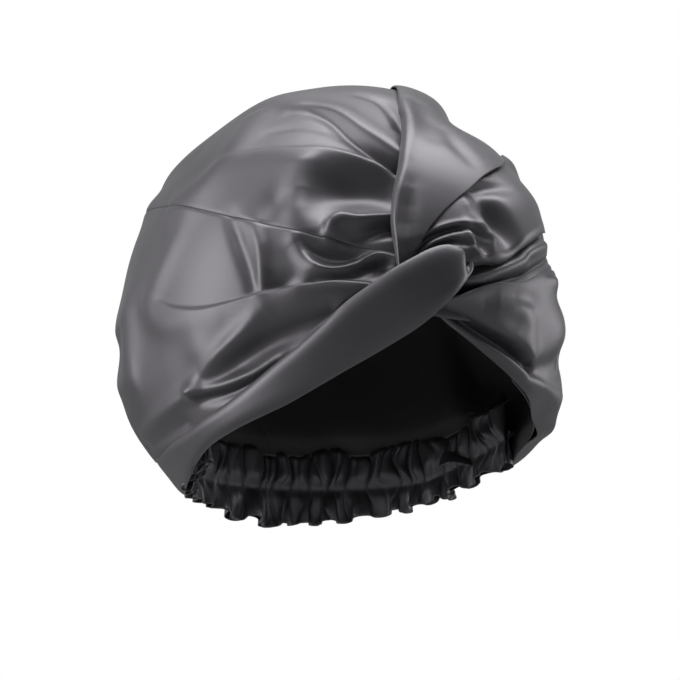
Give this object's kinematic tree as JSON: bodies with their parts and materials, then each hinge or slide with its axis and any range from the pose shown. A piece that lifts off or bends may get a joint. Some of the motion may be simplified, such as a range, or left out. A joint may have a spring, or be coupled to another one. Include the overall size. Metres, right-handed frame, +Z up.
{
  "type": "silk sleep bonnet",
  "caption": "Satin sleep bonnet with a twisted knot at the brow, a draped crown, a dark lining and a gathered elastic nape that holds it on the head.",
  "frame": {"origin": "middle of the head opening, at the level of the hem at the nape", "axes": "+Z up through the crown, -Y towards the knot at the brow, +X to the right as seen from the front"},
  "size_m": [0.2209, 0.2737, 0.213],
  "materials": {
    "satin": "charcoal silk satin with a soft broad sheen",
    "lining": "dark satin lining",
    "elastic": "ribbed knitted elastic"
  },
  "bodies": {
    "root": {"crown_panel": "satin", "side_panel_left": "satin", "side_panel_right": "satin", "front_band_left": "satin", "front_band_right": "satin", "twist_flap": "satin", "twist_puff": "satin", "twist_core": "satin", "lining_crown": "lining", "lining_left": "lining", "lining_right": "lining", "nape_casing_outer": "satin", "nape_casing_inner": "satin", "nape_elastic": "elastic"}
  },
  "joints": []
}
